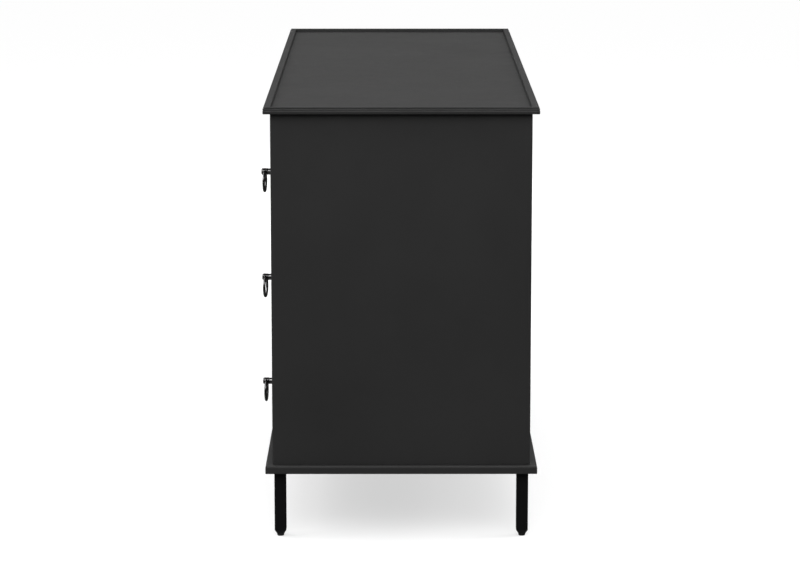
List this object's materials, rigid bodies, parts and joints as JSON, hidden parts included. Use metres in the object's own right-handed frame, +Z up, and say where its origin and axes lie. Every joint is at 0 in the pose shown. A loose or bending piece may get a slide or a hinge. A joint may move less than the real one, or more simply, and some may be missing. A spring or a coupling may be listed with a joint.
{
  "type": "dresser",
  "caption": "Wide dresser with a tray top, drawers with ring pulls in two bays, a stepped base board and square legs with levelling feet.",
  "frame": {"origin": "on the floor, under the middle of the bounding box", "axes": "+Z up, drawers facing -Y, +X to the right of someone facing the drawers"},
  "size_m": [1.524, 0.518, 0.813],
  "materials": {
    "black_board": "black satin lacquer, smooth",
    "leg_steel": "black powder coat, satin",
    "drawer_wood": "clear lacquered solid wood",
    "pull_metal": "polished black nickel",
    "foot_plastic": "moulded black plastic"
  },
  "bodies": {
    "carcass": {"top_frame": "black_board", "top_panel": "black_board", "base_board": "black_board", "centre_divider": "black_board", "back_panel": "black_board", "top_rail": "black_board", "bottom_rail": "black_board", "end_panel_left": "black_board", "bottom_board_left": "black_board", "lower_dust_board_left": "black_board", "upper_dust_board_left": "black_board", "end_panel_right": "black_board", "bottom_board_right": "black_board", "lower_dust_board_right": "black_board", "upper_dust_board_right": "black_board", "leg_front_left": "leg_steel", "leg_front_right": "leg_steel", "leg_back_left": "leg_steel", "leg_back_right": "leg_steel"},
    "foot_front_left": {"foot_front_left": "foot_plastic"},
    "foot_front_right": {"foot_front_right": "foot_plastic"},
    "foot_back_left": {"foot_back_left": "foot_plastic"},
    "foot_back_right": {"foot_back_right": "foot_plastic"},
    "drawer_left_bottom": {"drawer_front_left_bottom": "black_board", "drawer_box_left_bottom": "drawer_wood", "pull_post_left_bottom_inner": "pull_metal", "pull_post_left_bottom_outer": "pull_metal"},
    "ring_left_bottom_inner": {"pull_ring_left_bottom_inner": "pull_metal"},
    "ring_left_bottom_outer": {"pull_ring_left_bottom_outer": "pull_metal"},
    "drawer_left_middle": {"drawer_front_left_middle": "black_board", "drawer_box_left_middle": "drawer_wood", "pull_post_left_middle_inner": "pull_metal", "pull_post_left_middle_outer": "pull_metal"},
    "ring_left_middle_inner": {"pull_ring_left_middle_inner": "pull_metal"},
    "ring_left_middle_outer": {"pull_ring_left_middle_outer": "pull_metal"},
    "drawer_left_top": {"drawer_front_left_top": "black_board", "drawer_box_left_top": "drawer_wood", "pull_post_left_top_inner": "pull_metal", "pull_post_left_top_outer": "pull_metal"},
    "ring_left_top_inner": {"pull_ring_left_top_inner": "pull_metal"},
    "ring_left_top_outer": {"pull_ring_left_top_outer": "pull_metal"},
    "drawer_right_bottom": {"drawer_front_right_bottom": "black_board", "drawer_box_right_bottom": "drawer_wood", "pull_post_right_bottom_inner": "pull_metal", "pull_post_right_bottom_outer": "pull_metal"},
    "ring_right_bottom_inner": {"pull_ring_right_bottom_inner": "pull_metal"},
    "ring_right_bottom_outer": {"pull_ring_right_bottom_outer": "pull_metal"},
    "drawer_right_middle": {"drawer_front_right_middle": "black_board", "drawer_box_right_middle": "drawer_wood", "pull_post_right_middle_inner": "pull_metal", "pull_post_right_middle_outer": "pull_metal"},
    "ring_right_middle_inner": {"pull_ring_right_middle_inner": "pull_metal"},
    "ring_right_middle_outer": {"pull_ring_right_middle_outer": "pull_metal"},
    "drawer_right_top": {"drawer_front_right_top": "black_board", "drawer_box_right_top": "drawer_wood", "pull_post_right_top_inner": "pull_metal", "pull_post_right_top_outer": "pull_metal"},
    "ring_right_top_inner": {"pull_ring_right_top_inner": "pull_metal"},
    "ring_right_top_outer": {"pull_ring_right_top_outer": "pull_metal"}
  },
  "joints": [
    {"name": "foot_front_left_travel", "type": "slide", "parent": "carcass", "child": "foot_front_left", "axis": [0, 0, -1], "range_m": [0, 0.01]},
    {"name": "foot_front_right_travel", "type": "slide", "parent": "carcass", "child": "foot_front_right", "axis": [0, 0, -1], "range_m": [0, 0.01]},
    {"name": "foot_back_left_travel", "type": "slide", "parent": "carcass", "child": "foot_back_left", "axis": [0, 0, -1], "range_m": [0, 0.01]},
    {"name": "foot_back_right_travel", "type": "slide", "parent": "carcass", "child": "foot_back_right", "axis": [0, 0, -1], "range_m": [0, 0.01]},
    {"name": "drawer_left_bottom_slide", "type": "slide", "parent": "carcass", "child": "drawer_left_bottom", "axis": [0, -1, 0], "range_m": [0, 0.34]},
    {"name": "ring_left_bottom_inner_swing", "type": "hinge", "parent": "drawer_left_bottom", "child": "ring_left_bottom_inner", "pos_m": [-0.141, -0.2525, 0.268], "axis": [-1, 0, 0], "range_deg": [-20, 200]},
    {"name": "ring_left_bottom_outer_swing", "type": "hinge", "parent": "drawer_left_bottom", "child": "ring_left_bottom_outer", "pos_m": [-0.599, -0.2525, 0.268], "axis": [-1, 0, 0], "range_deg": [-20, 200]},
    {"name": "drawer_left_middle_slide", "type": "slide", "parent": "carcass", "child": "drawer_left_middle", "axis": [0, -1, 0], "range_m": [0, 0.34]},
    {"name": "ring_left_middle_inner_swing", "type": "hinge", "parent": "drawer_left_middle", "child": "ring_left_middle_inner", "pos_m": [-0.141, -0.2525, 0.47], "axis": [-1, 0, 0], "range_deg": [-20, 200]},
    {"name": "ring_left_middle_outer_swing", "type": "hinge", "parent": "drawer_left_middle", "child": "ring_left_middle_outer", "pos_m": [-0.599, -0.2525, 0.47], "axis": [-1, 0, 0], "range_deg": [-20, 200]},
    {"name": "drawer_left_top_slide", "type": "slide", "parent": "carcass", "child": "drawer_left_top", "axis": [0, -1, 0], "range_m": [0, 0.34]},
    {"name": "ring_left_top_inner_swing", "type": "hinge", "parent": "drawer_left_top", "child": "ring_left_top_inner", "pos_m": [-0.141, -0.2525, 0.672], "axis": [-1, 0, 0], "range_deg": [-20, 200]},
    {"name": "ring_left_top_outer_swing", "type": "hinge", "parent": "drawer_left_top", "child": "ring_left_top_outer", "pos_m": [-0.599, -0.2525, 0.672], "axis": [-1, 0, 0], "range_deg": [-20, 200]},
    {"name": "drawer_right_bottom_slide", "type": "slide", "parent": "carcass", "child": "drawer_right_bottom", "axis": [0, -1, 0], "range_m": [0, 0.34]},
    {"name": "ring_right_bottom_inner_swing", "type": "hinge", "parent": "drawer_right_bottom", "child": "ring_right_bottom_inner", "pos_m": [0.141, -0.2525, 0.268], "axis": [-1, 0, 0], "range_deg": [-20, 200]},
    {"name": "ring_right_bottom_outer_swing", "type": "hinge", "parent": "drawer_right_bottom", "child": "ring_right_bottom_outer", "pos_m": [0.599, -0.2525, 0.268], "axis": [-1, 0, 0], "range_deg": [-20, 200]},
    {"name": "drawer_right_middle_slide", "type": "slide", "parent": "carcass", "child": "drawer_right_middle", "axis": [0, -1, 0], "range_m": [0, 0.34]},
    {"name": "ring_right_middle_inner_swing", "type": "hinge", "parent": "drawer_right_middle", "child": "ring_right_middle_inner", "pos_m": [0.141, -0.2525, 0.47], "axis": [-1, 0, 0], "range_deg": [-20, 200]},
    {"name": "ring_right_middle_outer_swing", "type": "hinge", "parent": "drawer_right_middle", "child": "ring_right_middle_outer", "pos_m": [0.599, -0.2525, 0.47], "axis": [-1, 0, 0], "range_deg": [-20, 200]},
    {"name": "drawer_right_top_slide", "type": "slide", "parent": "carcass", "child": "drawer_right_top", "axis": [0, -1, 0], "range_m": [0, 0.34]},
    {"name": "ring_right_top_inner_swing", "type": "hinge", "parent": "drawer_right_top", "child": "ring_right_top_inner", "pos_m": [0.141, -0.2525, 0.672], "axis": [-1, 0, 0], "range_deg": [-20, 200]},
    {"name": "ring_right_top_outer_swing", "type": "hinge", "parent": "drawer_right_top", "child": "ring_right_top_outer", "pos_m": [0.599, -0.2525, 0.672], "axis": [-1, 0, 0], "range_deg": [-20, 200]}
  ]
}
